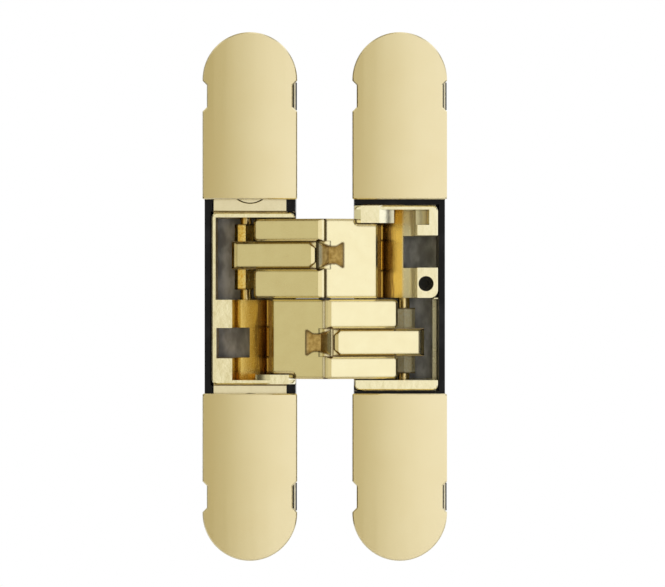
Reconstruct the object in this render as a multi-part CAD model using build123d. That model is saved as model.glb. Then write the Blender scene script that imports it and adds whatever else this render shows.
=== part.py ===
from build123d import *
import math
import os

os.makedirs("parts", exist_ok=True)

# Driving sizes in mm. X runs across the two leaves, Y into the door edge, Z up.
# The front of the covers lies at Y = 0 and the line between the leaves at X = 0.
leaf_height = 134.0
leaf_width = 24.0
leaf_spacing = 14.0
mid_height = -0.6
edge_bevel = 0.3

# Push-on covers and the clips that show in their notches.
cover_thickness = 1.5
cover_crown = 0.42
notch_length = 7.8
notch_depth = 1.1
notch_from_end = 16.2
clip_length = 5.2
clip_depth = 6.0
clip_thickness = 0.5

# Black housings.
housing_inset = 0.5
end_inset = 1.2
end_depth = 13.5
box_depth = 29.0
box_lap = 2.6
box_corner = 1.5
housing_wall = 1.5
screw_hole_radius = 2.6
screw_head_radius = 4.6
screw_from_end = 10.0
screw_pitch = 13.0

# Linkage: the places of its pins and the outline of its arms.
pivot_offset = 11.5
pivot_depth = 10.0
centre_depth = -1.5
link_pin_offset = 6.8
link_pin_depth = 6.4
link_foot_offset = 20.3
link_foot_depth = 14.2
link_length_share = 0.991
arm_height = 20.1
arm_split = 0.3
arm_bevel = 0.5
ridge_rise = 2.9
ridge_facet = 1.2
ridge_groove = 0.8
face_slope = 0.30
plate_reach = 13.4
plate_edge = 2.6
corner_start = 7.7
corner_fillet = 0.8
upper_prong_reach = 18.0
lower_prong_reach = 18.5
prong_edge = 2.4
prong_corner = 1.0
slot_low = 7.3
slot_width = 7.2
recess_shell = 0.8
recess_reach = 1.3
pocket_depth = 2.2
pocket_reach = 4.6
pocket_waist = 2.1
pocket_flare = 3.2

# Bearings in degrees at which the flanks of the castings meet their round eyes.
plate_bearing = 28
web_bearing = 45
prong_bearing = 120
waist_bearing = 118
foot_bearing = 10

# Pins, eyes and links.
centre_pin_radius = 1.6
centre_pin_short = 0.8
spacer_radius = 2.5
spacer_reach = 7.3
arm_pin_radius = 1.6
link_pin_radius = 1.5
barrel_radius = 2.9
eye_radius = 3.4
link_eye_radius = 4.3
link_foot_radius = 2.9
lug_height = 7.2
lug_neck = 1.0
nose_reach = 3.0
nose_draft = 1.2
nose_height = 0.5
nose_cut = 2.0
seam_depth = 1.2
finger_sink = 0.5
upper_tail = 3.4
lower_tail = 5.0
tail_bevel = 1.0
bar_drop = 1.1
bar_rise = 2.2
pin_inset = 0.4
foot_pin_sink = 6.0

# Carriers.
carrier_front = 0.8
carrier_depth = 20.0
carrier_corner = 1.4
carrier_side_wall = 1.0
scoop_wall = 1.0
scoop_rise = 0.6
scoop_fillet = 2.0
scoop_extra = 2.0
upper_bar = 1.2
lower_bar = 2.5
lobe_radius = 9.5
lobe_reach = 6.1
lobe_lap = 1.4
notch_wall = 1.2
notch_inner = 7.8
notch_bottom = 15.1
notch_top = 7.4
scoop_draft = 0.8
window_offset = 8.6
window_low = 7.9
window_high = 16.1
dish_radius = 4.3
dish_offset = 10.7
dish_height = 3.9
side_gate_depth = 14.0
side_gate_corner = 2.0
frame_drop = 0.25
adjuster_radius = 1.9
adjuster_length = 8.0
adjuster_sink = 7.0
adjuster_inset = 3.0
adjuster_rise = 3.85
adjuster_socket = 1.2
adjuster_socket_depth = 2.5

# Clamps that hold each carrier's tabs on its housing.
clamp_width = 18.6
clamp_lead = 2.1
clamp_tail = 0.9
clamp_thickness = 2.5
clamp_head_radius = 5.2
clamp_head_height = 1.2
clamp_shank_radius = 2.0
clamp_socket = 1.7
clamp_socket_depth = 2.7
clamp_travel = 1.6
tab_thickness = 3.0

# Clearances in mm.
running_gap = 0.05
fixed_gap = 0.02
head_gap = 0.15
slide_gap = 0.3
finger_gap = 0.25
cheek_gap = 0.06
side_gap = 0.3
level_gap = 0.4
cover_gap = 0.9
swing_gap = 0.7
open_pivot_gap = 0.75
cut_over = 3.0

# Places that follow from the sizes above.
leaf_x = (leaf_spacing + leaf_width) / 2
half_width = leaf_width / 2
half_height = leaf_height / 2
box_half = half_width - housing_inset
arm_low = mid_height + arm_split / 2
arm_top = arm_low + arm_height
level_top = arm_top + level_gap
level_bottom = 2 * mid_height - level_top
slot_bottom = arm_low + slot_low
slot_top = slot_bottom + slot_width
slot_mid = (slot_bottom + slot_top) / 2
ridge_y = centre_depth - ridge_rise
pivot = (pivot_offset, pivot_depth)
centre = (0.0, centre_depth)
link_pin_at = (-link_pin_offset, link_pin_depth)
foot = (-link_foot_offset, link_foot_depth)
carrier_outer = leaf_x + box_half - housing_wall - side_gap
carrier_inner = leaf_spacing / 2 + housing_inset
deep_inner = carrier_inner + housing_wall + side_gap
eye_floor = pivot_depth + eye_radius + swing_gap
wall_cut_depth = eye_floor + housing_wall
left_top = level_top + upper_bar
left_bottom = level_bottom - scoop_wall
right_top = level_top + scoop_extra + scoop_wall
right_bottom = level_bottom - lower_bar
cover_inner = max(left_top, -left_bottom, right_top, -right_bottom) + cover_gap
clamp_front = cover_thickness + slide_gap
tab_front = clamp_front + clamp_thickness
tab_back = tab_front + tab_thickness
clamp_length = clamp_lead + 2 * clamp_head_radius + clamp_tail
head_offset = clamp_lead + clamp_head_radius


def block(x0, x1, y0, y1, z0, z1):
    """A plain box between two corners."""
    middle = Pos((x0 + x1) / 2, (y0 + y1) / 2, (z0 + z1) / 2)
    return middle * Box(x1 - x0, y1 - y0, z1 - z0)


def rod(at, radius, z0, z1):
    """A round bar along Z at a place in plan."""
    return Pos(at[0], at[1], (z0 + z1) / 2) * Cylinder(radius, z1 - z0)


def post(x, z, radius, y0, y1):
    """A round bar along Y."""
    return Pos(x, (y0 + y1) / 2, z) * Rot(90, 0, 0) * Cylinder(radius, y1 - y0)


def profile(points, z0, z1):
    """A plan outline in X and Y, carried up from z0 to z1."""
    face = make_face(Polyline(*points, close=True))
    return Pos(0, 0, z0) * extrude(face, z1 - z0, dir=(0, 0, 1))


def slab(face, y0, y1):
    """A front outline in X and Z, carried back from y0 to y1."""
    return Pos(0, y0, 0) * extrude(Plane.XZ * face, y1 - y0, dir=(0, 1, 0))


def outline(*points):
    """A closed front outline, drawn with X across and Z up."""
    return make_face(Polyline(*points, close=True))


def bevelled(solid, bevel=edge_bevel):
    """The same piece with the edges of its front face taken off."""
    front = solid.faces().filter_by(lambda face: face.normal_at().Y < -0.9)
    return chamfer(front.sort_by(SortBy.AREA)[-1].edges(), bevel)


def half_turn(shape):
    """The same piece turned half round the Y line at mid height."""
    return Pos(0, 0, 2 * mid_height) * Rot(0, 180, 0) * shape


def face_y(x):
    """Depth of the sloping front face of an arm."""
    return ridge_y + face_slope * abs(x)


def about(at, radius, degrees):
    """A point in plan at a distance and bearing from another."""
    turn = math.radians(degrees)
    return (at[0] + radius * math.cos(turn), at[1] + radius * math.sin(turn))


# Arms. The upper arm has its fork on the left and its pivot eye on the right.
# The lower arm is turned half round, and its fork is a little longer.
lobe_low = level_top - lobe_lap
corner_low = lobe_low - level_gap
plate_back = centre_depth + barrel_radius
lug_low = slot_mid - lug_height / 2
lug_top = slot_mid + lug_height / 2
lug_radius = eye_radius - running_gap * 2
centre_pin_top = slot_bottom - centre_pin_short
bore_top = centre_pin_top + slide_gap
nose = (-nose_reach, face_y(nose_reach) + finger_sink)
nose_tip = (nose[0] + nose_draft, nose[1] + nose_height)
swing_radius = math.dist(link_pin_at, nose_tip) + slide_gap + edge_bevel


def arm_plate():
    """The arm's broad half, from the ridge to the pivot eye."""
    front = outline(
        (0, arm_low),
        (plate_reach + cut_over, arm_low),
        (plate_reach + cut_over, corner_low),
        (corner_start, corner_low),
        (corner_start, arm_top),
        (0, arm_top),
    )
    inner_corner = front.vertices().sort_by_distance((corner_start, corner_low))[0]
    front = fillet(inner_corner, corner_fillet)
    body = profile(
        [
            (0, ridge_y),
            (plate_reach, face_y(plate_reach)),
            (plate_reach, face_y(plate_reach) + plate_edge),
            about(pivot, eye_radius, -plate_bearing),
            pivot,
            about(pivot, eye_radius, 180 + plate_bearing),
            about(centre, barrel_radius, web_bearing),
            (0, plate_back),
        ],
        arm_low,
        arm_top,
    )
    return bevelled(body & slab(front, ridge_y - cut_over, eye_floor), arm_bevel)


def prong(reach, low, top):
    """One tine of an arm's fork, with a facet and a groove where it meets the plate."""
    body = profile(
        [
            (0, ridge_y + ridge_groove),
            (-ridge_facet, face_y(ridge_facet)),
            (-reach, face_y(reach)),
            (-reach, face_y(reach) + prong_edge),
            about(link_pin_at, eye_radius, prong_bearing),
            about(link_pin_at, eye_radius, web_bearing),
            (0, plate_back),
        ],
        low,
        top,
    )
    front = outline((0, low), (0, top), (-reach, top), (-reach, low))
    front = fillet(front.vertices().sort_by(Axis.X)[:2], prong_corner)
    body = bevelled(body & slab(front, ridge_y - cut_over, eye_floor), arm_bevel)
    return body + rod(link_pin_at, eye_radius, low, top)


def arm(prong_reach, centre_gap):
    """A whole arm: plate, fork, barrel, the link's room, the recesses and the bores."""
    body = arm_plate()
    for low, top in ((arm_low, slot_bottom), (slot_top, arm_top)):
        body += prong(prong_reach, low, top)
    body += rod(pivot, eye_radius, arm_low, corner_low)
    body += rod(centre, barrel_radius, slot_bottom, slot_top)
    body -= rod(link_pin_at, swing_radius, slot_bottom, slot_top)
    recess = outline(
        (-barrel_radius, slot_bottom),
        (recess_reach, slot_mid - pocket_waist),
        (recess_reach, slot_mid + pocket_waist),
        (-barrel_radius, slot_top),
    )
    shell = rod(link_pin_at, swing_radius + recess_shell, slot_bottom, slot_top)
    body -= slab(recess, ridge_y - cut_over, ridge_y + pocket_depth) - shell
    pocket_mid = (recess_reach + pocket_reach) / 2
    pocket = outline(
        (recess_reach - edge_bevel, slot_mid - pocket_waist),
        (pocket_mid, slot_mid - pocket_waist),
        (pocket_reach, slot_mid - pocket_flare),
        (pocket_reach, slot_mid + pocket_flare),
        (pocket_mid, slot_mid + pocket_waist),
        (recess_reach - edge_bevel, slot_mid + pocket_waist),
    )
    body -= slab(pocket, ridge_y - cut_over, ridge_y + pocket_depth) - shell
    body -= rod(pivot, lobe_radius + level_gap, corner_low, arm_top + cut_over)
    body -= rod(pivot, lug_radius + level_gap, lug_low - slide_gap, lug_top + slide_gap)
    body -= rod(pivot, arm_pin_radius + running_gap, arm_low - cut_over, arm_top)
    body -= rod(link_pin_at, link_pin_radius + fixed_gap, arm_low - cut_over, arm_top + cut_over)
    return body - rod(centre, centre_pin_radius + centre_gap, arm_low - cut_over, bore_top)


upper_arm = arm(upper_prong_reach, running_gap)
lower_arm = half_turn(arm(lower_prong_reach, fixed_gap))

# Pins of the linkage, and the flat spacer on the lower arm that the upper arm runs on.
centre_pin = rod(centre, centre_pin_radius, 2 * mid_height - centre_pin_top, centre_pin_top)
spacer_low = 2 * mid_height - arm_low
spacer_top = arm_low - running_gap
spacer_back = plate_back - side_gap
centre_washer = rod(centre, spacer_radius, spacer_low, spacer_top)
centre_washer += block(-spacer_reach, spacer_reach, centre_depth, spacer_back, spacer_low, spacer_top)
centre_washer -= rod(centre, centre_pin_radius + fixed_gap, spacer_low, spacer_top)
upper_link_pin = rod(link_pin_at, link_pin_radius, arm_low + pin_inset, arm_top - pin_inset)

# Links. Each is a finger in the fork of an arm, with an eye that leaves room round
# the arm's pin, on an eight-sided cross bar that turns on the foot pin of a leaf.
eye_at = (
    foot[0] + link_length_share * (link_pin_at[0] - foot[0]),
    foot[1] + link_length_share * (link_pin_at[1] - foot[1]),
)
finger_low = slot_bottom + finger_gap
finger_top = slot_top - finger_gap
cheek_low = slot_bottom + cheek_gap
cheek_top = slot_top - cheek_gap
bar_low = arm_low + bar_rise
bar_top = arm_top - bar_drop


def link(tail):
    """A finger with a bevelled nose and tail, its full-width cheeks, eye and cross bar."""
    end = link_foot_offset + tail
    tail_y = face_y(end) + finger_sink + tail_bevel
    back = [
        (-end, foot[1]),
        foot,
        about(foot, link_foot_radius, -foot_bearing),
        about(eye_at, link_eye_radius, waist_bearing),
        about(eye_at, link_eye_radius, 0),
    ]
    tail_top = (-end + tail_bevel, face_y(end - tail_bevel) + finger_sink)
    finger = profile([nose, tail_top, (-end, tail_y), *back, nose_tip], finger_low, finger_top)
    for corner_z, inward in ((finger_low, 1), (finger_top, -1)):
        corner = outline(
            (nose_tip[0] - nose_cut, corner_z),
            (nose_tip[0], corner_z),
            (nose_tip[0], corner_z + inward * nose_cut),
        )
        finger -= slab(corner, ridge_y, nose_tip[1] + seam_depth)
    body = bevelled(finger, arm_bevel)
    seam = [(nose_tip[0], nose_tip[1] + seam_depth), (-end, tail_y + seam_depth)]
    body += profile([*seam, *back], cheek_low, cheek_top)
    bar = extrude(RegularPolygon(link_foot_radius, 8), bar_top - bar_low)
    body += Pos(foot[0], foot[1], bar_low) * bar
    body += rod(eye_at, link_eye_radius, cheek_low, cheek_top)
    body -= rod(eye_at, link_pin_radius + open_pivot_gap, cheek_low, cheek_top)
    return body - rod(foot, link_pin_radius + running_gap, bar_low, bar_top)


upper_link = link(upper_tail)
lower_link = half_turn(link(lower_tail))

# Carriers, drawn for the left leaf: a scoop for an arm's pivot end in the lower half
# and an open frame for a link's foot in the upper half.
corner_swing = math.dist(pivot, (plate_reach, face_y(plate_reach)))
scoop_reach = corner_swing + swing_gap
lug_z0 = 2 * mid_height - lug_top
lug_z1 = 2 * mid_height - lug_low
left_pivot = (-pivot_offset, pivot_depth)
foot_pin_low = mid_height - foot_pin_sink


def carrier(bottom, top):
    """One leaf's casting, from its scooped end up to its framed end."""
    width = carrier_outer - carrier_inner
    middle = -(carrier_outer + carrier_inner) / 2
    front = Pos(middle, (bottom + top) / 2) * RectangleRounded(width, top - bottom, carrier_corner)
    body = bevelled(slab(front, carrier_front, wall_cut_depth - side_gap))
    body += block(-carrier_outer, -deep_inner, eye_floor, carrier_depth, bottom, top)
    scoop_end = bottom + scoop_wall
    frame_floor = mid_height - frame_drop
    scoop = FilletPolyline(
        (-pivot_offset - scoop_reach - scoop_draft, 0),
        (-pivot_offset - scoop_reach, pivot_depth + scoop_rise),
        (-pivot_offset - swing_gap, eye_floor),
        (0, eye_floor),
        radius=scoop_fillet,
    )
    scoop += Polyline(scoop @ 1, (0, 0), scoop @ 0)
    body -= Pos(0, 0, scoop_end) * extrude(make_face(scoop), frame_floor - scoop_end, dir=(0, 0, 1))
    frame_inner = -carrier_outer + carrier_side_wall
    body -= block(frame_inner, 0, 0, carrier_depth + cut_over, frame_floor, level_top)
    body += rod(left_pivot, lug_radius, lug_z0, lug_z1)
    neck = lug_radius - lug_neck
    root = eye_floor + scoop_wall
    body += block(-pivot_offset - neck, -pivot_offset + neck, pivot_depth, root, lug_z0, lug_z1)
    lobe_top = 2 * mid_height - lobe_low
    lobe = rod(left_pivot, lobe_radius, bottom, lobe_top)
    lobe_outer = -pivot_offset - lobe_reach
    body += lobe & block(lobe_outer, -carrier_inner, carrier_front, root, bottom, lobe_top)
    body -= rod(left_pivot, arm_pin_radius + fixed_gap, bottom + pin_inset, mid_height)
    return body - rod(foot, link_pin_radius + fixed_gap, foot_pin_low, top)


def arm_pin(bottom):
    """The pin through an arm's eye, from the carrier's lobe up to the arm's end."""
    return rod(left_pivot, arm_pin_radius, bottom + pin_inset, 2 * mid_height - arm_low - pin_inset)


def foot_pin(top):
    """The pin through a link's foot, from the carrier's scooped half to its framed end."""
    return rod(foot, link_pin_radius, foot_pin_low, top)


def tab(side, edge, start):
    """A slotted ear at a carrier's end, which shifts under its clamp for adjustment."""
    x = side * leaf_x
    out = math.copysign(1.0, edge)
    root = edge - out * scoop_wall / 2
    far = start + out * clamp_length
    half = clamp_width / 2
    ear = block(x - half, x + half, tab_front, tab_back, min(root, far), max(root, far))
    slot_half = clamp_shank_radius + slide_gap
    slot = Rectangle(2 * (slot_half + clamp_travel), 2 * slot_half)
    return ear - slab(Pos(x, start + out * head_offset) * slot, tab_front, tab_back)


# The clamps of the left leaf show beside its carrier, and those of the right leaf
# lie under its covers.
ends = {
    ("left", "upper"): (left_top, left_top + level_gap),
    ("left", "lower"): (left_bottom, left_bottom - level_gap),
    ("right", "upper"): (right_top, cover_inner + level_gap),
    ("right", "lower"): (right_bottom, -cover_inner - level_gap),
}
through = carrier_depth + cut_over
ahead = carrier_front - cut_over

left_carrier = carrier(left_bottom, left_top)
left_carrier -= block(
    -carrier_outer + notch_wall,
    -pivot_offset - notch_inner,
    ahead,
    through,
    mid_height - notch_bottom,
    mid_height - notch_top,
)
for end in ("upper", "lower"):
    left_carrier += tab(-1, *ends["left", end])

# The right carrier is turned half round. It has an open window in its outer wall,
# a dished corner, an adjuster screw below the window and a lowered wall at the frame.
right_carrier = half_turn(carrier(2 * mid_height - right_top, 2 * mid_height - right_bottom))
right_carrier -= block(
    pivot_offset + window_offset,
    carrier_outer + cut_over,
    ahead,
    through,
    mid_height + window_low,
    mid_height + window_high,
)
dish_top = right_top - scoop_wall
dish_at = (pivot_offset + dish_offset, carrier_front)
right_carrier -= rod(dish_at, dish_radius, dish_top - dish_height, dish_top)
gate_inner = carrier_outer - carrier_side_wall
gate_outer = carrier_outer + cut_over
right_carrier -= block(gate_inner, gate_outer, ahead, side_gate_depth, level_bottom, mid_height)
ledge = mid_height + frame_drop
corner_x = carrier_outer - side_gate_corner
corner_z = ledge + side_gate_corner
gate_corner = block(corner_x, gate_outer, ahead, side_gate_depth, ledge, corner_z)
right_carrier -= gate_corner - post(corner_x, corner_z, side_gate_corner, ahead, side_gate_depth)
for end in ("upper", "lower"):
    right_carrier += tab(1, *ends["right", end])
adjuster_x = carrier_outer - adjuster_inset
adjuster_z = mid_height + adjuster_rise
adjuster_front = carrier_front + adjuster_sink
adjuster_back = adjuster_front + adjuster_length
right_carrier -= post(adjuster_x, adjuster_z, adjuster_radius + fixed_gap, ahead, adjuster_back)
right_adjuster = post(adjuster_x, adjuster_z, adjuster_radius, adjuster_front, adjuster_back)
socket = Pos(adjuster_x, adjuster_z) * RegularPolygon(adjuster_socket, 6)
right_adjuster -= slab(socket, adjuster_front, adjuster_front + adjuster_socket_depth)


def housing(side, leaf):
    """One black body: two shallow rounded ends and a deep box between them."""
    x = side * leaf_x
    end_face = SlotOverall(leaf_height - 2 * end_inset, leaf_width - 2 * end_inset, rotation=90)
    box_face = RectangleRounded(2 * box_half, 2 * (cover_inner + box_lap), box_corner)
    body = slab(Pos(x, 0) * end_face, cover_thickness, end_depth)
    body += slab(Pos(x, 0) * box_face, cover_thickness, box_depth)
    low = ends[leaf, "lower"][0] - side_gap
    high = ends[leaf, "upper"][0] + side_gap
    inner = box_half - housing_wall
    body -= block(x - inner, x + inner, 0, box_depth - housing_wall, low, high)
    mouth = sorted((side * leaf_spacing / 2, x))
    body -= block(mouth[0], mouth[1], 0, wall_cut_depth, low, high)
    for end, up in (("upper", 1), ("lower", -1)):
        edge, start = ends[leaf, end]
        near = start - up * slide_gap
        far = start + up * (clamp_length + slide_gap)
        half = clamp_width / 2 + slide_gap
        body -= block(x - half, x + half, 0, tab_back, min(near, far), max(near, far))
        tab_room = tab_front - slide_gap
        body -= block(x - half, x + half, tab_room, tab_back, min(edge, far), max(edge, far))
        shank_z = start + up * head_offset
        body -= post(x, shank_z, clamp_shank_radius + fixed_gap, cover_thickness, end_depth - housing_wall)
        far_hole = half_height - screw_from_end
        for hole_z in (up * far_hole, up * (far_hole - screw_pitch)):
            body -= post(x, hole_z, screw_hole_radius, 0, end_depth)
            sink = screw_head_radius - screw_hole_radius
            cone = Rot(90, 0, 0) * Cone(screw_hole_radius, screw_head_radius, sink)
            body -= Pos(x, cover_thickness + sink / 2, hole_z) * cone
    return body


def cover(side, up):
    """A push-on front plate, lightly crowned, with a rounded end and two edge notches."""
    x = side * leaf_x
    round_z = up * (half_height - half_width)
    inner_z = up * cover_inner
    plate = Pos(x, round_z) * Circle(half_width)
    plate += Pos(x, (round_z + inner_z) / 2) * Rectangle(leaf_width, abs(round_z - inner_z))
    notch_z = up * (half_height - notch_from_end)
    half = notch_length / 2
    for edge in (-1, 1):
        edge_x = x + edge * half_width
        root_x = edge_x - edge * notch_depth
        plate -= outline(
            (edge_x, notch_z - half),
            (root_x, notch_z - half + notch_depth),
            (root_x, notch_z + half - notch_depth),
            (edge_x, notch_z + half),
        )
    crown_radius = (half_width**2 + cover_crown**2) / (2 * cover_crown)
    crown = rod((x, crown_radius), crown_radius, -half_height, half_height)
    return bevelled(slab(plate, 0, cover_thickness) & crown)


def clamp(side, start, up):
    """A small plate that presses a carrier's ear on to the housing."""
    x = side * leaf_x
    far = start + up * clamp_length
    half = clamp_width / 2
    plate = block(x - half, x + half, clamp_front, tab_front, min(start, far), max(start, far))
    head_z = start + up * head_offset
    head_seat = clamp_front + clamp_head_height
    plate -= post(x, head_z, clamp_head_radius + head_gap, clamp_front, head_seat)
    return plate - post(x, head_z, clamp_shank_radius + slide_gap, clamp_front, tab_front)


def clamp_screw(side, start, up):
    """A wide flat-headed screw with a six-sided socket."""
    x = side * leaf_x
    head_z = start + up * head_offset
    head_back = clamp_front + clamp_head_height
    screw = post(x, head_z, clamp_head_radius, clamp_front, head_back)
    screw += post(x, head_z, clamp_shank_radius, head_back, end_depth - housing_wall)
    socket_face = Pos(x, head_z) * RegularPolygon(clamp_socket, 6)
    return screw - slab(socket_face, clamp_front, clamp_front + clamp_socket_depth)


def clip(side, up):
    """A thin spring strip on the right flank of a rounded end, seen in the notch."""
    x = side * leaf_x + half_width - end_inset
    z = up * (half_height - notch_from_end)
    half = clip_length / 2
    return block(x, x + clip_thickness, cover_thickness, cover_thickness + clip_depth, z - half, z + half)


nodes = {
    "left_housing": housing(-1, "left"),
    "left_carrier": left_carrier,
    "left_arm_pin": arm_pin(left_bottom),
    "left_link_pin": foot_pin(left_top),
    "right_housing": housing(1, "right"),
    "right_carrier": right_carrier,
    "right_arm_pin": half_turn(arm_pin(2 * mid_height - right_top)),
    "right_link_pin": half_turn(foot_pin(2 * mid_height - right_bottom)),
    "right_adjuster": right_adjuster,
    "lower_arm": lower_arm,
    "lower_link_pin": half_turn(upper_link_pin),
    "centre_pin": centre_pin,
    "centre_washer": centre_washer,
    "upper_arm": upper_arm,
    "upper_link_pin": upper_link_pin,
    "upper_link": upper_link,
    "lower_link": lower_link,
}
for (leaf, end), (edge, start) in ends.items():
    side = -1 if leaf == "left" else 1
    up = 1 if end == "upper" else -1
    nodes[f"{leaf}_{end}_cover"] = cover(side, up)
    nodes[f"{leaf}_{end}_clamp"] = clamp(side, start, up)
    nodes[f"{leaf}_{end}_screw"] = clamp_screw(side, start, up)
    nodes[f"{leaf}_{end}_clip"] = clip(side, up)

# The finished pieces are moved forward so that the origin is the centre of the hinge.
mid_depth = (ridge_y + box_depth) / 2
for name, shape in nodes.items():
    export_step(Pos(0, -mid_depth, 0) * shape, f"parts/{name}.step")
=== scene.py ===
import math
import bpy
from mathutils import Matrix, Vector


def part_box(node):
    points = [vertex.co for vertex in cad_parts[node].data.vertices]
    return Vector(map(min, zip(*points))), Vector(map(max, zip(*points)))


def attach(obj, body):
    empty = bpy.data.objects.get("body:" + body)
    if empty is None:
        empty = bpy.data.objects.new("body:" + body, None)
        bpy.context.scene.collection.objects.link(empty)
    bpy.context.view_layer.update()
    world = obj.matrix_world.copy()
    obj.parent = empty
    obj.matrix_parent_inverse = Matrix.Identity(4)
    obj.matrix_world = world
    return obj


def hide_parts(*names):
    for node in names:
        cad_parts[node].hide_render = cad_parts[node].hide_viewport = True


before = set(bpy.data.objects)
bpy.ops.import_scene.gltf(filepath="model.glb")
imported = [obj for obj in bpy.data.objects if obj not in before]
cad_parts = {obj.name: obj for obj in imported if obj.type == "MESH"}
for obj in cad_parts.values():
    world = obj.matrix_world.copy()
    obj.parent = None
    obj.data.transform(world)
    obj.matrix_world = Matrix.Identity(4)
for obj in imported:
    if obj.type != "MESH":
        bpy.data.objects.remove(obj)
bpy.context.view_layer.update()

mm = 0.001

# The housings are two black bodies, cast in zinc alloy and coated, that drop into
# mortises in the door and its frame. The coat is left thin inside the deep pockets,
# where the grey casting shows through.
housing_black = (0.010, 0.010, 0.012, 1.0)
housing_worn = (0.030, 0.030, 0.034, 1.0)
pocket_grey = (0.58, 0.58, 0.585, 1.0)
pocket_shade = (0.28, 0.278, 0.28, 1.0)
housing_edge = 0.25 * mm
edge_steps = 3
pocket_lip = 3.0 * mm
back_skin = 0.8 * mm
side_wall = 1.2 * mm
pocket_half_height = 25.0 * mm
cloud_size = 3.0 * mm
cloud_pull = (1.0, 1.0, 2.0)
cloud_span = (0.35, 0.70)
scuff_size = 7.0 * mm
scuff_span = (0.45, 0.80)
powder_size = 0.16 * mm
powder_depth = 0.012 * mm
coat_rough = 0.36
pocket_rough = 0.10
powder_rough = 0.14
coat_shine = 0.15
sharp_turn = math.radians(50.0)
crease_turn = math.radians(12.0)
same_plane = math.radians(0.5)
same_point = 0.001 * mm


class Strand:
    """One value of a finish or a recipe: arithmetic on it adds Math nodes."""

    def __init__(self, tree, socket=None):
        self.tree = tree
        self.socket = socket

    def node(self, kind, settings, sockets, output=0):
        """Adds a node, sets it up, joins its inputs and returns one of its outputs."""
        made = self.tree.nodes.new(kind)
        for name, value in settings.items():
            if name == "stops":
                ramp = made.color_ramp
                for place, colour in value:
                    stop = ramp.elements.new(place)
                    stop.color = colour
                ramp.elements.remove(ramp.elements[0])
                ramp.elements.remove(ramp.elements[-1])
            else:
                setattr(made, name, value)
        for name, value in sockets.items():
            join(value, made.inputs[name])
        return Strand(self.tree, made.outputs[output] if made.outputs else None)

    def math(self, operation, first, second):
        return self.node("ShaderNodeMath", {"operation": operation}, {0: first, 1: second})

    def __add__(self, other):
        return self.math("ADD", self, other)

    def __radd__(self, other):
        return self.math("ADD", other, self)

    def __sub__(self, other):
        return self.math("SUBTRACT", self, other)

    def __rsub__(self, other):
        return self.math("SUBTRACT", other, self)

    def __mul__(self, other):
        return self.math("MULTIPLY", self, other)

    def __rmul__(self, other):
        return self.math("MULTIPLY", other, self)

    def __gt__(self, other):
        return self.math("GREATER_THAN", self, other)

    def __lt__(self, other):
        return self.math("LESS_THAN", self, other)

    def __abs__(self):
        return self.math("ABSOLUTE", self, 0.0)


def join(value, socket):
    """Links a strand to a socket, or sets the socket to a plain value."""
    if isinstance(value, Strand):
        value.tree.links.new(value.socket, socket)
    else:
        socket.default_value = value


def new_finish(name):
    """An empty finish: its material, a strand to start from and its surface shader."""
    material = bpy.data.materials.new(name)
    material.use_nodes = True
    return material, Strand(material.node_tree), material.node_tree.nodes["Principled BSDF"]


def blend(start, share, low, high):
    """A colour that goes from low to high with a strand's value."""
    settings = {"data_type": "RGBA"}
    return start.node("ShaderNodeMix", settings, {"Factor": share, 6: low, 7: high}, 2)


def grain(start, size, detail=2.0, stretch=(1.0, 1.0, 1.0)):
    """Soft noise with marks of about one size in metres, drawn out along an axis."""
    place = start.node("ShaderNodeTexCoord", {}, {}, "Object")
    scale = tuple(1.0 / (size * pull) for pull in stretch)
    place = start.node("ShaderNodeVectorMath", {"operation": "MULTIPLY"}, {0: place, 1: scale})
    sockets = {"Vector": place, "Scale": 1.0, "Detail": detail}
    return start.node("ShaderNodeTexNoise", {}, sockets, "Fac")


def axis_place(start):
    """The three coordinates of a point on a piece, in metres in the hinge's own frame."""
    place = start.node("ShaderNodeTexCoord", {}, {}, "Object")
    return [start.node("ShaderNodeSeparateXYZ", {}, {0: place}, axis) for axis in range(3)]


def ramp_up(start, value, low, high):
    """Nought below low, one above high, and a smooth step between them."""
    span = {"Value": value, 1: low, 2: high, 3: 0.0, 4: 1.0}
    return start.node("ShaderNodeMapRange", {"interpolation_type": "SMOOTHSTEP"}, span)


def dented(start, height, depth):
    """A surface direction tilted by small heights, with the depth in metres."""
    sockets = {"Strength": 1.0, "Distance": depth, "Height": height}
    return start.node("ShaderNodeBump", {}, sockets, "Normal")


def dress(material, *names):
    """Gives CAD nodes their finish."""
    for name in names:
        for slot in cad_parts[name].material_slots:
            slot.material = material


def recipe(name):
    """An empty geometry recipe: its group and the mesh that comes in."""
    group = bpy.data.node_groups.new(name, "GeometryNodeTree")
    for way in ("INPUT", "OUTPUT"):
        group.interface.new_socket("Geometry", in_out=way, socket_type="NodeSocketGeometry")
    return group, Strand(group).node("NodeGroupInput", {}, {})


joined_faces, mesh = recipe("joined_faces")
mesh = mesh.node("GeometryNodeRemoveAttribute", {}, {"Geometry": mesh, "Name": "custom_normal"})
mesh = mesh.node("GeometryNodeMergeByDistance", {}, {"Geometry": mesh, "Distance": same_point})
mesh.node("NodeGroupOutput", {}, {0: mesh})

smooth_curves, mesh = recipe("smooth_curves")
turn = mesh.node("GeometryNodeInputMeshEdgeAngle", {}, {})
soft = mesh.node("FunctionNodeCompare", {"operation": "LESS_THAN"}, {0: turn, 1: crease_turn})
mesh = mesh.node("GeometryNodeSetShadeSmooth", {"domain": "FACE"}, {"Geometry": mesh})
settings = {"domain": "EDGE"}
mesh = mesh.node("GeometryNodeSetShadeSmooth", settings, {"Geometry": mesh, "Shade Smooth": soft})
mesh.node("NodeGroupOutput", {}, {0: mesh})


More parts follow.
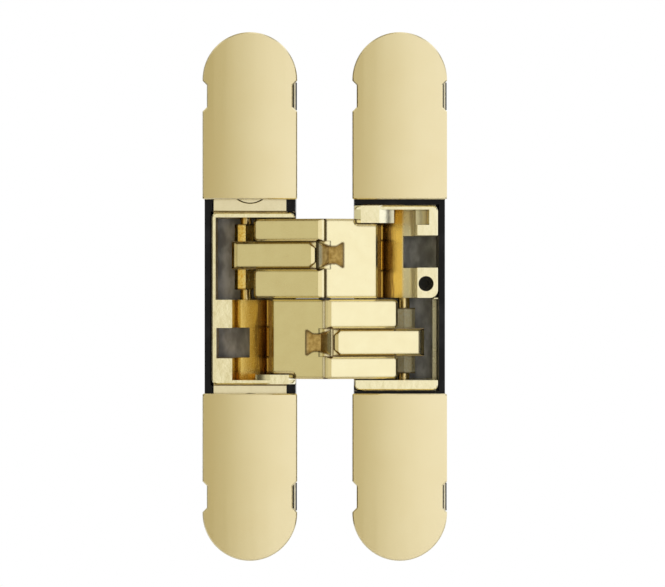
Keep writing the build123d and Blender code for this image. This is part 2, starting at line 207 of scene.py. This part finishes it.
def soften(radius, *names):
    """Breaks the sharp edges of CAD nodes by a small radius and shades their curves smoothly."""
    for name in names:
        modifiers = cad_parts[name].modifiers
        modifiers.new("joined", "NODES").node_group = joined_faces
        flat = modifiers.new("flat", "DECIMATE")
        flat.decimate_type = "DISSOLVE"
        flat.angle_limit = same_plane
        modifiers.new("shaded", "NODES").node_group = smooth_curves
        edge = modifiers.new("edge", "BEVEL")
        edge.width = radius
        edge.segments = edge_steps
        edge.limit_method = "ANGLE"
        edge.angle_limit = sharp_turn
        modifiers.new("weighed", "WEIGHTED_NORMAL").keep_sharp = True


housing_low, housing_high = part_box("left_housing")
cover_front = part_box("left_upper_cover")[0].y
pocket_front = housing_low.y + pocket_lip
pocket_back = housing_high.y - back_skin
leaf_middle = -(housing_low.x + housing_high.x) / 2
pocket_half_width = (housing_high.x - housing_low.x) / 2 - side_wall

housing_coat, start, shader = new_finish("black_coat")
x, y, z = axis_place(start)
inside = (abs(abs(x) - leaf_middle) < pocket_half_width) * (abs(z) < pocket_half_height)
inside = inside * (y > pocket_front) * (y < pocket_back)
cloud = ramp_up(start, grain(start, cloud_size, detail=5.0, stretch=cloud_pull), *cloud_span)
powder = grain(start, powder_size)
scuffs = ramp_up(start, grain(start, scuff_size, detail=6.0), *scuff_span)
bare = blend(start, cloud, pocket_shade, pocket_grey)
coat = blend(start, scuffs, housing_black, housing_worn)
join(blend(start, inside, coat, bare), shader.inputs["Base Color"])
join(inside, shader.inputs["Metallic"])
join(coat_rough + pocket_rough * inside + powder_rough * (powder - 0.5), shader.inputs["Roughness"])
shader.inputs["Specular IOR Level"].default_value = coat_shine
join(dented(start, powder, powder_depth), shader.inputs["Normal"])
dress(housing_coat, "left_housing", "right_housing")
soften(housing_edge, "left_housing", "right_housing")

# The carriers are brass-plated castings that slide in the housings. Each has a scoop
# for one arm and an open frame for the foot of the other arm's link. The plating is
# polished and the casting's ripples show in it. Deep in the scoops its colour runs to
# amber, brown and near black as painted shade and painted reflection, and the right
# brim is painted pale as a painted highlight.
cast_gold = (1.0, 0.94, 0.66, 1.0)
cast_amber = (0.82, 0.54, 0.15, 1.0)
# Colours of the painted shade and painted reflection deep in the scoops.
scoop_shade_brown = (0.24, 0.135, 0.04, 1.0)
scoop_reflection_amber = (0.88, 0.62, 0.17, 1.0)
scoop_shade_dark = (0.10, 0.055, 0.015, 1.0)
# Brown of the painted shade in corners and seams and along outer edges.
painted_shade_brown = (0.14, 0.08, 0.025, 1.0)
carrier_edge = 0.4 * mm
# How far and how strongly the painted corner shade reaches.
corner_reach = 1.1 * mm
corner_span = (0.10, 0.75)
corner_shade_share = 0.92
# Reach and span of the painted dark edges.
edge_shade_reach = 0.55 * mm
edge_shade_span = (0.68, 0.96)
patch_size = 3.5 * mm
patch_tint = 0.14
patch_rough = 0.10
ripple_size = 1.1 * mm
speck_size = 0.25 * mm
speck_height = 0.08
pit_span = (0.62, 0.74)
pit_tint = 0.5
pit_rough = 0.25
carrier_polish = 0.09
carrier_ripple = 0.022 * mm
scoop_brim = cover_front + 2.5 * mm
scoop_floor = cover_front + 6.0 * mm
scoop_wall = 15.0 * mm
scoop_near = 15.2 * mm
scoop_half = 16.6 * mm
scoop_far = 18.2 * mm
# Bounds of the painted highlight on the right brim, and how much less metallic it is.
brim_front = cover_front + 2.0 * mm
brim_back = cover_front + 3.5 * mm
brim_near = 19.5 * mm
brim_far = 20.5 * mm
painted_highlight_share = 0.7
streak_size = 0.6 * mm
streak_pull = (1.0, 1.0, 9.0)
streak_sway = 2.5 * mm
streak_height = 0.5
wave_size = 2.6 * mm
wave_height = 1.4
scoop_rough = 0.12


def painted_corner_shade(start):
    """One in corners and seams, for the painted shade there, and nought in the open."""
    settings = {"samples": 6}
    open_share = start.node("ShaderNodeAmbientOcclusion", settings, {"Distance": corner_reach}, "AO")
    return 1.0 - ramp_up(start, open_share, *corner_span)


def painted_edge_shade(start):
    """One along outer edges, for painted dark reflections on the rounded edges, and nought on the
    flats.
    """
    settings = {"samples": 8, "inside": True, "only_local": True}
    solid_share = start.node("ShaderNodeAmbientOcclusion", settings, {"Distance": edge_shade_reach}, "AO")
    return 1.0 - ramp_up(start, solid_share, *edge_shade_span)


def cast_plating(name, bright, deep, polish, pitting, marks_and_painted_light=None, painted_edge_weight=0.0):
    """Bright plating over a casting: cloudy colour, pits and ripples, painted shade in corners and
    painted dark edges.
    """
    material, start, shader = new_finish(name)
    patches = grain(start, patch_size, detail=3.0)
    ripples = grain(start, ripple_size)
    specks = grain(start, speck_size)
    pits = ramp_up(start, specks, *pit_span) * ripples
    gold = blend(start, patch_tint * patches + pit_tint * pits, bright, deep)
    rough = polish + patch_rough * patches + pit_rough * pits
    height = ripples + speck_height * specks
    metal = 1.0
    if marks_and_painted_light:
        gold, rough, height, metal = marks_and_painted_light(start, gold, rough, height)
    # Painted dark edges and painted shade in corners and seams are mixed into the colour here.
    if painted_edge_weight:
        gold = blend(start, painted_edge_weight * painted_edge_shade(start), gold, painted_shade_brown)
    join(blend(start, corner_shade_share * painted_corner_shade(start), gold, painted_shade_brown), shader.inputs["Base Color"])
    join(rough, shader.inputs["Roughness"])
    join(metal, shader.inputs["Metallic"])
    join(dented(start, height, pitting), shader.inputs["Normal"])
    return material


def scoop_painted_light(start, gold, rough, height):
    """Painted shade and painted reflection in the scoops, amber to nearly black beside the arms, and a
    painted highlight, pale and less metallic, at the right brim.
    """
    x, y, z = axis_place(start)
    streaks = grain(start, streak_size, detail=3.0, stretch=streak_pull)
    depth = ramp_up(start, y, scoop_brim, scoop_floor)
    reach = abs(x) + streak_sway * (streaks - 0.5)
    outer = blend(start, ramp_up(start, reach, scoop_half, scoop_far), scoop_shade_brown, scoop_reflection_amber)
    inner = blend(start, ramp_up(start, reach, scoop_near, scoop_half), scoop_shade_dark, outer)
    inner = blend(start, abs(x) < scoop_wall, inner, scoop_reflection_amber)
    brim_highlight = ramp_up(start, y, brim_front, brim_back) * ramp_up(start, x, brim_near, brim_far)
    inner = blend(start, brim_highlight, inner, cast_gold)
    waves = grain(start, wave_size, detail=1.0)
    height = height + wave_height * waves + streak_height * depth * streaks
    return blend(start, depth, gold, inner), rough + scoop_rough * depth, height, 1.0 - painted_highlight_share * brim_highlight


carrier_plating = cast_plating(
    "cast_plating", cast_gold, cast_amber, carrier_polish, carrier_ripple, scoop_painted_light
)
dress(carrier_plating, "left_carrier", "right_carrier")
soften(carrier_edge, "left_carrier", "right_carrier")

# The clamps are small plated steel plates with wide flat screws. They press the
# carriers' ears on to the housings, and the covers hide all but their near edges.
clamp_gold = (0.97, 0.90, 0.66, 1.0)
clamp_edge = 0.15 * mm
clamp_polish = 0.16
clamp_ripple = 0.008 * mm
clamp_plating = cast_plating("clamp_plating", clamp_gold, cast_amber, clamp_polish, clamp_ripple)
for leaf in ("left", "right"):
    for end in ("upper", "lower"):
        dress(clamp_plating, f"{leaf}_{end}_clamp", f"{leaf}_{end}_screw")
        soften(clamp_edge, f"{leaf}_{end}_clamp", f"{leaf}_{end}_screw")

# The adjuster is a grub screw of blackened steel, turned and threaded. It sits deep
# in its hole in the right carrier and sets how that carrier stands in its housing.
adjuster_black = (0.02, 0.02, 0.02, 1.0)
adjuster_worn = (0.07, 0.07, 0.07, 1.0)
adjuster_grain = 0.4 * mm
adjuster_rough = 0.35
adjuster_wear = 0.2
adjuster_steel, start, shader = new_finish("blackened_steel")
scuffs = grain(start, adjuster_grain)
join(blend(start, scuffs, adjuster_black, adjuster_worn), shader.inputs["Base Color"])
shader.inputs["Metallic"].default_value = 1.0
join(adjuster_rough + adjuster_wear * scuffs, shader.inputs["Roughness"])
dress(adjuster_steel, "right_adjuster")

# The pins are turned steel rods with a thin brass plating. They are pressed into
# the carriers and arms and carry the eyes of the linkage.
pin_gold = (0.88, 0.70, 0.33, 1.0)
pin_polish = 0.16
pin_ripple = 0.004 * mm
pin_plating = cast_plating("pin_plating", pin_gold, cast_amber, pin_polish, pin_ripple)
for leaf in ("left", "right"):
    dress(pin_plating, f"{leaf}_arm_pin", f"{leaf}_link_pin")
dress(pin_plating, "upper_link_pin", "lower_link_pin", "centre_pin")

# The spacer is a flat disc and bar of black acetal, moulded in one piece. The centre
# pin holds it between the two arms, which rub on it as they cross.
spacer_black = (0.03, 0.03, 0.03, 1.0)
spacer_rubbed = (0.08, 0.08, 0.08, 1.0)
spacer_grain = 0.5 * mm
spacer_rough = 0.4
spacer_wear = 0.2
spacer_plastic, start, shader = new_finish("black_acetal")
rub = grain(start, spacer_grain)
join(blend(start, rub, spacer_black, spacer_rubbed), shader.inputs["Base Color"])
join(spacer_rough + spacer_wear * rub, shader.inputs["Roughness"])
dress(spacer_plastic, "centre_washer")

# The arms are the heavy brass-plated castings that carry the door. Their front faces
# are ground flat before plating, so they are calmer than the carriers. The bow-tie
# pocket beside each finger's nose is brown and gritty as cast, and its brown is partly
# painted shade of the recess.
arm_gold = (0.96, 0.85, 0.50, 1.0)
arm_edge = 0.45 * mm
# Share of painted dark edge on the arms and links.
edge_shade_share = 0.9
arm_polish = 0.13
arm_ripple = 0.006 * mm
arm_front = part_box("upper_arm")[0].y
hinge_middle = (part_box("upper_arm")[1].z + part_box("lower_arm")[0].z) / 2
pocket_level = 11.05 * mm
pocket_half = 3.3 * mm
pocket_left = -2.9 * mm
pocket_right = 4.7 * mm
face_slope = 0.3
face_skin = 0.35 * mm
# Colours of the pockets' grit, whose brown is partly painted shade of the recess.
pocket_tan = (0.72, 0.51, 0.18, 1.0)
pocket_brown = (0.42, 0.26, 0.07, 1.0)
grit_size = 0.9 * mm
grit_span = (0.25, 0.75)
grit_grain = 0.3 * mm
grit_height = 0.5
grit_rough = 0.20


def pocket_grit_and_shade(start, gold, rough, height):
    """Brown grit in the pockets of the arms, behind their ground front faces. The brown is partly
    painted shade of the recess.
    """
    x, y, z = axis_place(start)
    side = 2.0 * (z > hinge_middle) - 1.0
    along = x * side
    across = abs(abs(z - hinge_middle) - pocket_level) < pocket_half
    sunk = ramp_up(start, y - face_slope * abs(x), arm_front + face_skin, arm_front + 3 * face_skin)
    inside = across * sunk * (along > pocket_left) * (along < pocket_right)
    grit = grain(start, grit_size, detail=4.0)
    grit = blend(start, ramp_up(start, grit, *grit_span), pocket_brown, pocket_tan)
    height = height + grit_height * inside * grain(start, grit_grain)
    return blend(start, inside, gold, grit), rough + grit_rough * inside, height, 1.0


arm_plating = cast_plating(
    "arm_plating", arm_gold, cast_amber, arm_polish, arm_ripple, pocket_grit_and_shade, edge_shade_share
)
dress(arm_plating, "upper_arm", "lower_arm")
soften(arm_edge, "upper_arm", "lower_arm")

# The links are cast fingers on a cross bar, plated like the arms and ground on their
# fronts. A pin in the carrier holds each foot, which stays speckled as cast: amber on
# the left, and on the right painted pale and less metallic as a painted highlight.
link_ripple = 0.010 * mm
foot_front = -5.0 * mm
foot_fade = 1.0 * mm
foot_amber = (1.0, 0.92, 0.56, 1.0)
foot_brown = (0.90, 0.66, 0.22, 1.0)
# Colours of the right foot's painted highlight.
foot_highlight_pale = (1.0, 0.95, 0.70, 1.0)
foot_highlight_dull = (0.93, 0.83, 0.52, 1.0)
foot_grain = 0.45 * mm
foot_span = (0.36, 0.58)
foot_height = 0.8
foot_rough = 0.06


def foot_specks_and_highlight(start, gold, rough, height):
    """Speckled amber plating on the left link's foot, and on the right one's the specks painted pale
    and less metallic as a painted highlight.
    """
    x, y, z = axis_place(start)
    foot = ramp_up(start, y, foot_front, foot_front + foot_fade)
    specks = grain(start, foot_grain, detail=3.0)
    bright = ramp_up(start, specks, *foot_span)
    amber = blend(start, bright, foot_brown, foot_amber)
    right_foot_highlight = foot * (x > 0.0)
    skin = blend(start, right_foot_highlight, amber, blend(start, bright, foot_highlight_dull, foot_highlight_pale))
    height = height + foot_height * foot * specks
    return blend(start, foot, gold, skin), rough + foot_rough * foot, height, 1.0 - painted_highlight_share * right_foot_highlight


link_plating = cast_plating(
    "link_plating", arm_gold, cast_amber, arm_polish, link_ripple, foot_specks_and_highlight, edge_shade_share
)
dress(link_plating, "upper_link", "lower_link")
soften(arm_edge, "upper_link", "lower_link")

# The covers are pressed brass plates with a satin lacquered face. They push on to
# the housings and hide the fixing screws.
cover_gold = (0.95, 0.84, 0.54, 1.0)
cover_warm = (0.94, 0.81, 0.49, 1.0)
cover_edge = 0.3 * mm
haze_size = 9.0 * mm
haze_rough = 0.04
sand_size = 0.14 * mm
sand_rough = 0.06
sand_depth = 0.004 * mm
satin_rough = 0.20
lacquer_share = 0.3
lacquer_rough = 0.25
cover_satin, start, shader = new_finish("satin_lacquered_brass")
haze = grain(start, haze_size)
sand = grain(start, sand_size)
join(blend(start, haze, cover_gold, cover_warm), shader.inputs["Base Color"])
shader.inputs["Metallic"].default_value = 1.0
join(satin_rough + haze_rough * haze + sand_rough * (sand - 0.5), shader.inputs["Roughness"])
shader.inputs["Coat Weight"].default_value = lacquer_share
shader.inputs["Coat Roughness"].default_value = lacquer_rough
join(dented(start, sand, sand_depth), shader.inputs["Normal"])
for leaf in ("left", "right"):
    for end in ("upper", "lower"):
        dress(cover_satin, f"{leaf}_{end}_cover")
        soften(cover_edge, f"{leaf}_{end}_cover")

# The clips are spring strips of steel, folded and hooked on the housings' right flanks.
# Each has a rib rolled into its lip, which shows in the notch of its cover. The steel
# is coloured black as painted shadow of the notch's edges, and cream along the rib.
# Black of the clip, painted shadow of the notch's edges.
clip_painted_shadow = (0.016, 0.015, 0.014, 1.0)
clip_cream = (0.97, 0.93, 0.80, 1.0)
clip_shade = (0.80, 0.72, 0.52, 1.0)
clip_edge = 0.05 * mm
clip_edge_steps = 2
clip_grain = 0.6 * mm
clip_rough = 0.30
clip_wear = 0.2
clip_shine = 0.2
clip_steel = 0.5 * mm
lip_reach = 1.12 * mm
lip_thick = 0.6 * mm
rib_rise = 0.15 * mm
rib_near = 0.38 * mm
rib_far = 0.82 * mm
clip_spare = 0.9 * mm


def clip_finish(name, foot, rib):
    """Spring steel coloured black as painted shadow of the notch's edges, and cream along its rib."""
    material, start, shader = new_finish(name)
    x, y, z = axis_place(start)
    wear = grain(start, clip_grain)
    bright = (x > foot + rib_near) * (x < foot + rib_far) * (y < rib + 0.5 * rib_rise)
    cream = blend(start, wear, clip_cream, clip_shade)
    join(blend(start, bright, clip_painted_shadow, cream), shader.inputs["Base Color"])
    join(bright, shader.inputs["Metallic"])
    join(clip_rough + clip_wear * wear, shader.inputs["Roughness"])
    shader.inputs["Specular IOR Level"].default_value = clip_shine
    return material


def clip_strip(name, node, body):
    """A folded strip with its ribbed lip at the front, drawn out along the flank."""
    low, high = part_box(node)
    lip = low.y + lip_thick
    rib = low.y - rib_rise
    outline = [
        (low.x, high.y),
        (low.x, low.y),
        (low.x + rib_near, low.y),
        (low.x + rib_near, rib),
        (low.x + rib_far, rib),
        (low.x + rib_far, low.y),
        (low.x + lip_reach, low.y),
        (low.x + lip_reach, lip),
        (low.x + clip_steel, lip),
        (low.x + clip_steel, high.y),
    ]
    count = len(outline)
    points = [(x, y, z) for z in (low.z - clip_spare, high.z + clip_spare) for x, y in outline]
    sides = [(k, (k + 1) % count, count + (k + 1) % count, count + k) for k in range(count)]
    ends = [tuple(reversed(range(count))), tuple(range(count, 2 * count))]
    mesh = bpy.data.meshes.new(name)
    mesh.from_pydata(points, [], sides + ends)
    piece = bpy.data.objects.new(name, mesh)
    bpy.context.scene.collection.objects.link(piece)
    piece.data.materials.append(clip_finish(f"{name}_finish", low.x, rib))
    edge = piece.modifiers.new("edge", "BEVEL")
    edge.width = clip_edge
    edge.segments = clip_edge_steps
    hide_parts(node)
    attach(piece, body)


for leaf in ("left", "right"):
    for end in ("upper", "lower"):
        clip_strip(f"{leaf}_{end}_spring", f"{leaf}_{end}_clip", f"{leaf}_leaf")

# The studio is a pale round floor well below the hinge, in a white tent with a warm
# reflector on the left and dark cloth beside the camera's table. The camera faces the
# hinge squarely.
floor_pale = (0.95, 0.95, 0.95, 1.0)
floor_shade = (0.91, 0.91, 0.91, 1.0)
floor_level = -0.095
floor_reach = 0.23
floor_fade = 0.12
floor_corners = 48
floor_fibre = 6.0 * mm
floor_rough = 0.8

floor_paper, start, shader = new_finish("pale_floor")
x, y, z = axis_place(start)
fibres = grain(start, floor_fibre)
join(blend(start, fibres, floor_pale, floor_shade), shader.inputs["Base Color"])
shader.inputs["Roughness"].default_value = floor_rough
spread = start.math("SQRT", x * x + y * y, 0.0)
join(1.0 - ramp_up(start, spread, floor_fade, floor_reach), shader.inputs["Alpha"])

turns = [2 * math.pi * corner / floor_corners for corner in range(floor_corners)]
rim = [(floor_reach * math.cos(turn), floor_reach * math.sin(turn), floor_level) for turn in turns]
floor_mesh = bpy.data.meshes.new("floor")
floor_mesh.from_pydata(rim, [], [range(floor_corners)])
floor_mesh.materials.append(floor_paper)
floor = bpy.data.objects.new("floor", floor_mesh)
bpy.context.scene.collection.objects.link(floor)

white = (1.0, 1.0, 1.0, 1.0)
sheet_white = (0.95, 0.95, 0.95, 1.0)
sheet_span = (0.05, 0.30)
tent_across = [
    (0.00, (0.08, 0.07, 0.05, 1.0)),
    (0.07, (0.10, 0.09, 0.06, 1.0)),
    (0.14, (0.60, 0.58, 0.46, 1.0)),
    (0.24, (0.65, 0.63, 0.48, 1.0)),
    (0.33, (0.45, 0.39, 0.22, 1.0)),
    (0.41, (0.42, 0.35, 0.17, 1.0)),
    (0.45, (0.60, 0.55, 0.37, 1.0)),
    (0.50, (0.90, 0.88, 0.79, 1.0)),
    (0.54, (0.99, 0.98, 0.95, 1.0)),
    (0.64, (1.00, 1.00, 1.02, 1.0)),
    (0.75, (1.04, 1.08, 1.18, 1.0)),
    (0.87, (1.04, 1.08, 1.18, 1.0)),
    (0.93, (0.12, 0.12, 0.13, 1.0)),
    (1.00, (0.08, 0.08, 0.09, 1.0)),
]
tent_upward = [
    (0.00, (0.35, 0.35, 0.35, 1.0)),
    (0.12, (0.12, 0.12, 0.12, 1.0)),
    (0.24, (0.60, 0.59, 0.56, 1.0)),
    (0.38, (0.84, 0.83, 0.80, 1.0)),
    (0.50, (1.0, 1.0, 1.0, 1.0)),
    (0.60, (0.86, 0.86, 0.86, 1.0)),
    (0.68, (0.78, 0.78, 0.78, 1.0)),
    (0.78, (1.05, 1.05, 1.05, 1.0)),
    (0.88, (1.0, 1.0, 1.0, 1.0)),
    (0.95, (0.20, 0.20, 0.20, 1.0)),
    (1.00, (0.60, 0.60, 0.60, 1.0)),
]
world = bpy.data.worlds.new("soft_tent")
world.use_nodes = True
bpy.context.scene.world = world
start = Strand(world.node_tree)
x, y, z = axis_place(start)
across = start.node("ShaderNodeValToRGB", {"stops": tent_across}, {"Fac": 0.5 + 0.5 * x})
upward = start.node("ShaderNodeValToRGB", {"stops": tent_upward}, {"Fac": 0.5 + 0.5 * z})
settings = {"data_type": "RGBA", "blend_type": "MULTIPLY"}
front = start.node("ShaderNodeMix", settings, {"Factor": 1.0, 6: across, 7: upward}, 2)
kinds = ("Is Camera Ray", "Is Glossy Ray", "Is Transmission Ray")
camera_ray, glossy_ray, clear_ray = [start.node("ShaderNodeLightPath", {}, {}, kind) for kind in kinds]
behind = ramp_up(start, y, *sheet_span)
tent = blend(start, behind, front, sheet_white)
backdrop = start.math("MAXIMUM", camera_ray, start.math("MAXIMUM", glossy_ray, clear_ray) * behind)
join(blend(start, backdrop, tent, white), world.node_tree.nodes["Background"].inputs["Color"])

view_distance = 0.9
view_width = 0.1685
camera_aside = 1.96 * mm
camera_raise = 0.75 * mm
camera_level = math.radians(90.0)
sensor_width = 36.0
nearest_seen = 0.05
eye = bpy.data.cameras.new("eye")
eye.sensor_width = sensor_width
eye.lens = sensor_width * view_distance / view_width
eye.clip_start = nearest_seen
camera = bpy.data.objects.new("eye", eye)
camera.location = (camera_aside, cover_front - view_distance, camera_raise)
camera.rotation_euler = (camera_level, 0.0, 0.0)
bpy.context.scene.collection.objects.link(camera)
bpy.context.scene.camera = camera
bpy.context.scene.view_settings.view_transform = "Standard"
